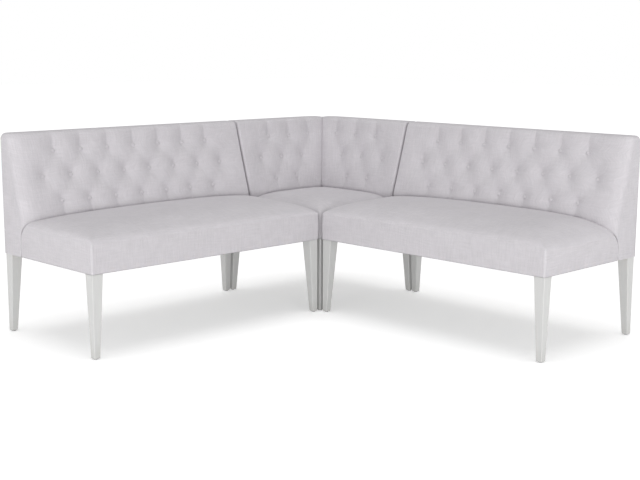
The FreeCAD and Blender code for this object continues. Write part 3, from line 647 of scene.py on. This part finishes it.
def back_lattice(x):
    """A back's lattice of given values across, with its values upwards gathered at the rows of buttons."""
    row_low, row_high = BACK_LOW + LOW_BEND + BESIDE_BEND, TOP - TOP_ROUND - BESIDE_BEND
    rows = gathered(row_low, row_high, ROWS[0], ROWS[1] - ROWS[0], ROW_LINES)
    below = np.linspace(SEAT_LOW, BACK_LOW, LOW_LINES)[:-1]
    z = np.concatenate([below, np.union1d(graded(BACK_LOW, TOP, TOP, LOW_BEND, TOP_ROUND), rows)])
    return skin(x, np.linspace(0, 1, DEPTH_LINES), z)


def settle_back(piece, x, t, z, crease, spots, edges):
    """Settles a back's open face, but for its edges and what each button holds down.

    One step of subdivision then smooths the lattice.
    """
    held = (t < 1) | (z < CREASE + FOOT_HELD) | (z > TOP - TOP_HELD) | edges
    for bx, bz, _ in spots:
        held |= np.hypot(x - bx, z - bz) < BUTTON_HELD
    settle(piece, held, faded_in(z - crease, BACK_FADE))
    finer = piece.modifiers.new("finer", "SUBSURF")
    finer.levels = finer.render_levels = 1


def bench_back(name, placing, inner, body):
    """A bench's back: depth is v = rear + t (front(x, z) - rear) for a share t from the rear."""
    spots = bench_buttons()
    bends = (JOIN_ROUND, END_ROUND) if inner < 0 else (END_ROUND, JOIN_ROUND)
    low, high = bends[0] - HALF + BESIDE_BEND, HALF - bends[1] - BESIDE_BEND
    columns = gathered(low, high, 0.0, PITCH / 2, COLUMN_LINES)
    points, sides = back_lattice(np.union1d(graded(-HALF, HALF, LENGTH, *bends), columns))
    x, t, z = points.T
    from_outer, from_join = HALF + inner * x, HALF - inner * x
    rounding = rounded_off(from_outer, END_ROUND) * END_DEPTH / END_ROUND + rounded_off(from_join, JOIN_ROUND)
    crease = bench_top(x, DEPTH - V_CREASE, inner)
    front = back_front(x, z, crease, spots, rounding)
    rear = back_rear(z, np.minimum(from_outer, from_join))
    v = rear + t * (front - rear)
    z = lowered(z, rounded_off(from_outer, END_SHOULDER) + rounded_off(from_join, JOIN_SHOULDER))
    piece = cloth_piece(name, placing(x, v, z), sides, body)
    settle_back(piece, x, t, z, crease, spots, rounding > 0)
    return piece


def corner_back(name, placing, body):
    """Half of the corner's back, from the mitre seam to the open end: x = v + s + a (end - v - s).

    Here s is the seam's gap and a the share of the way. Three rounds bring x and v to agree.
    """
    spots = corner_buttons()
    points, sides = back_lattice(graded(0.0, DEPTH, CORNER_STEP, SEAM_BEND, JOIN_ROUND))
    a, t, z = points.T
    x = a
    for _ in range(3):
        rounding = rounded_off(DEPTH - x, JOIN_ROUND)
        crease = least(corner_crown(x), corner_crown(np.full(x.shape, V_CREASE)))
        front = back_front(x, z, crease, spots, rounding)
        from_seam = np.clip(x - button_depth(np.maximum(z, CREASE)), 0, None)
        front = front - VALLEY * np.exp(-from_seam / VALLEY_WIDTH)
        rear = back_rear(z, DEPTH - x)
        v = rear + t * (front - rear)
        x = v + MITRE + a / DEPTH * (DEPTH - v - MITRE)
    dip = DIP * np.exp(-np.clip(x - v, 0, None) / DIP_WIDTH)
    z = lowered(z, dip + rounded_off(DEPTH - x, JOIN_SHOULDER))
    piece = cloth_piece(name, placing(x, v, z), sides, body)
    settle_back(piece, x, t, z, crease, spots, (rounding > 0) | (from_seam < SEAM_HELD))
    return piece


# Buttons and outside backs

BUTTON_RINGS, BUTTON_TURNS = 9, 24
BUTTON_RADIUS, BUTTON_RISE, BUTTON_POWER, BUTTON_SUNK, BUTTON_FOOT = 9.0, 3.2, 0.8, 0.5, -3.0
PANEL_LOW, PANEL_HIGH, PANEL_INSET = SEAT_LOW + 0.5, TOP - 21.0, 1.5
PANEL_STEP, PANEL_BEND, PANEL_LINES = 25.0, 4.0, 4
# Rounding of a panel's edge and the share of it kept, its hollow and the run of that, and its lap
PANEL_ROUND, PANEL_KEPT, PANEL_HOLLOW, PANEL_RUN, PANEL_LAP = 3.0, 0.7, 0.8, 60.0, 0.2


def button_pieces(name, spots, placings, body):
    """Covered buttons: domes of rings r = R sin(s) raised H (cos(s))^0.8 along the rake's normal."""
    angles = np.linspace(0, math.pi / 2, BUTTON_RINGS)
    turns = np.arange(BUTTON_TURNS) * 2 * math.pi / BUTTON_TURNS
    s, turn = np.meshgrid(angles, turns, indexing="ij")
    radius = BUTTON_RADIUS * np.sin(s)
    lift = BUTTON_RISE * np.cos(s) ** BUTTON_POWER - BUTTON_SUNK
    radius = np.vstack([radius, radius[-1:], radius[:1]])
    lift = np.vstack([lift, np.full((2, BUTTON_TURNS), BUTTON_FOOT)])
    turn = np.vstack([turn, turn[:2]])
    slope = math.hypot(1, RAKE)
    dx, up = radius * np.cos(turn), radius * np.sin(turn)
    dv, dz = (lift - up * RAKE) / slope, (up + lift * RAKE) / slope
    ring = np.arange(radius.size).reshape(radius.shape)
    ring = np.hstack([ring, ring[:, :1]])
    places, sides = [], []
    for placing in placings:
        for bx, bz, row in spots:
            sides.append((ring if placing is in_corner_mirrored else ring[::-1]) + len(places) * radius.size)
            places.append(placing(bx + dx, button_depth(bz) - PULL[row] + dv, bz + dz).reshape(-1, 3))
    return cloth_piece(name, np.concatenate(places), sides, body)


def outside_panel(name, placing, x0, x1, body):
    """Outside back: a thin panel with soft edges, drawn slightly hollow towards its tacked edges.

    On the corner it starts from the mitre with the other panel, so x moves by (v + s) (1 - x / x1).
    """
    across = graded(x0, x1, PANEL_STEP, PANEL_BEND, PANEL_BEND)
    upwards = graded(PANEL_LOW, PANEL_HIGH, PANEL_STEP, PANEL_BEND, PANEL_BEND)
    points, sides = skin(across, np.linspace(0, 1, PANEL_LINES), upwards)
    x, t, z = points.T
    from_edge = np.minimum(np.minimum(x - x0, x1 - x), np.minimum(z - PANEL_LOW, PANEL_HIGH - z))
    outer = rounded_off(from_edge, PANEL_ROUND) * PANEL_KEPT - rise(from_edge, PANEL_HOLLOW, PANEL_RUN)
    v = outer + t * (PANEL + PANEL_LAP - outer)
    if body == "corner":
        x = x + (v + MITRE) * (1 - x / x1)
    return cloth_piece(name, placing(x, v, z), sides, body)


# The whole

FINISHES = ((("legs",), leg_paint()), (("glides",), moulded_nylon()), (("dust_cover",), dust_cloth()),
            (("webbing",), elastic_webbing()), (("bolts", "pin", "forks"), plated_steel()),
            (("rail", "rails", "blocks", "posts", "board", "boards"), sawn_wood()))
for name, solid in nodes.items():
    for endings, finish in FINISHES:
        if name.endswith(endings):
            solid.data.materials.clear()
            solid.data.materials.append(finish)

for side, placing, inner in (("left", in_left_bench, 1), ("right", in_right_bench, -1)):
    body = f"{side}_bench"
    seat = bench_seat(f"{body}_seat", placing, inner, body)
    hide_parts(f"{body}_seat_cover", f"{body}_seat_foam")
    back = bench_back(f"{body}_back", placing, inner, body)
    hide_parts(f"{body}_back_cover", f"{body}_back_foam")
    buttons = button_pieces(f"{body}_buttons", bench_buttons(), [placing], body)
    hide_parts(f"{body}_back_buttons")
    panel = outside_panel(f"{body}_outside", placing, PANEL_INSET - HALF, HALF - PANEL_INSET, body)
    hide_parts(f"{body}_outside_back")

seat = corner_seat("corner_seat", in_corner, "corner")
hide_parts("corner_seat_cover", "corner_seat_foam")
for side, placing in (("right", in_corner), ("left", in_corner_mirrored)):
    back = corner_back(f"corner_{side}_back", placing, "corner")
    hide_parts(f"corner_{side}_back_cover", f"corner_{side}_back_foam")
    panel = outside_panel(f"corner_{side}_outside", placing, 0.0, DEPTH - PANEL_INSET, "corner")
    if side == "right":
        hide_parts("corner_outside_backs")
buttons = button_pieces("corner_buttons", corner_buttons(), [in_corner, in_corner_mirrored], "corner")
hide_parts("corner_back_buttons")


# Camera, floor and light, in metres and degrees

CAMERA_PLACE, CAMERA_WAY, CAMERA_TILT, CAMERA_ROLL = (3.6499, -3.5753, 1.3027), 45.556, 9.658, 0.223
SENSOR, LENS = 36.0, 64.09
WHITE = (1, 1, 1, 1)
FLOOR_REACH, FLOOR_COLOUR, FLOOR_GLOW = 30, (0.92, 0.92, 0.92, 1), 0.38
AMBIENT = 0.46
# Two long low lamps in front, aimed at the seats: their places, aim, size and power in watts
LAMPS = (("front_left", (1.05, -5.67, 0.45)), ("front_right", (5.67, -1.05, 0.45)))
LAMP_AIM, LAMP_SIZE, LAMP_POWER = (-0.2, 0.2, 0.5), (4.0, 0.8), 108
SUN_SPREAD, SUN_STRENGTH = 50, 1.0


def turned(degrees, axis):
    return Matrix.Rotation(math.radians(degrees), 4, axis)


camera = bpy.data.objects.new("camera", bpy.data.cameras.new("camera"))
camera.data.sensor_width = SENSOR
camera.data.lens = LENS
camera.matrix_world = (Matrix.Translation(CAMERA_PLACE) @ turned(CAMERA_WAY, "Z")
                       @ turned(90 - CAMERA_TILT, "X") @ turned(CAMERA_ROLL, "Z"))
scene.collection.objects.link(camera)
scene.camera = camera


def shown_white(tree):
    """Light Path: 1 for rays from the camera and for those that gloss and glass send out."""
    path = tree.nodes.new("ShaderNodeLightPath")
    total = path.outputs["Is Camera Ray"]
    for kind in ("Is Glossy Ray", "Is Transmission Ray"):
        either = tree.nodes.new("ShaderNodeMath")
        either.operation = "MAXIMUM"
        tree.links.new(total, either.inputs[0])
        tree.links.new(path.outputs[kind], either.inputs[1])
        total = either.outputs[0]
    return total


def by_rays(tree, lit, shown, output):
    """Surface that lights the part as one shader does and shows as another."""
    mix = tree.nodes.new("ShaderNodeMixShader")
    tree.links.new(shown_white(tree), mix.inputs[0])
    tree.links.new(lit.outputs[0], mix.inputs[1])
    tree.links.new(shown.outputs[0], mix.inputs[2])
    tree.links.new(mix.outputs[0], tree.nodes[output].inputs["Surface"])


def studio_floor():
    """White floor: plain white to what it lights, and to the camera white with the object's shadow."""
    finish = Finish("studio_floor")
    tree = finish.tree
    tree.nodes.remove(finish.shader)
    plain = tree.nodes.new("ShaderNodeBsdfDiffuse")
    plain.inputs["Color"].default_value = FLOOR_COLOUR
    glow = tree.nodes.new("ShaderNodeEmission")
    glow.inputs["Color"].default_value = WHITE
    glow.inputs["Strength"].default_value = FLOOR_GLOW
    both = tree.nodes.new("ShaderNodeAddShader")
    tree.links.new(plain.outputs[0], both.inputs[0])
    tree.links.new(glow.outputs[0], both.inputs[1])
    by_rays(tree, plain, both, "Material Output")
    return finish.material


floor_corners = [(-FLOOR_REACH, -FLOOR_REACH, 0), (FLOOR_REACH, -FLOOR_REACH, 0),
                 (FLOOR_REACH, FLOOR_REACH, 0), (-FLOOR_REACH, FLOOR_REACH, 0)]
floor_mesh = bpy.data.meshes.new("floor")
floor_mesh.from_pydata(floor_corners, [], [(0, 1, 2, 3)])
floor_mesh.materials.append(studio_floor())
floor = bpy.data.objects.new("floor", floor_mesh)
scene.collection.objects.link(floor)

world = bpy.data.worlds.new("studio")
scene.world = world
world.use_nodes = True
sky = world.node_tree
ambient = sky.nodes["Background"]
ambient.inputs["Color"].default_value = WHITE
ambient.inputs["Strength"].default_value = AMBIENT
white = sky.nodes.new("ShaderNodeBackground")
white.inputs["Color"].default_value = WHITE
white.inputs["Strength"].default_value = 1.0
by_rays(sky, ambient, white, "World Output")

for name, place in LAMPS:
    light = bpy.data.lights.new(name, "AREA")
    light.shape = "RECTANGLE"
    light.size, light.size_y = LAMP_SIZE
    light.energy = LAMP_POWER
    lamp = bpy.data.objects.new(name, light)
    lamp.location = place
    lamp.rotation_euler = Vector(np.subtract(LAMP_AIM, place)).to_track_quat("-Z", "Y").to_euler()
    scene.collection.objects.link(lamp)
overhead = bpy.data.objects.new("overhead", bpy.data.lights.new("overhead", "SUN"))
overhead.data.angle = math.radians(SUN_SPREAD)
overhead.data.energy = SUN_STRENGTH
scene.collection.objects.link(overhead)

scene.view_settings.view_transform = "Standard"
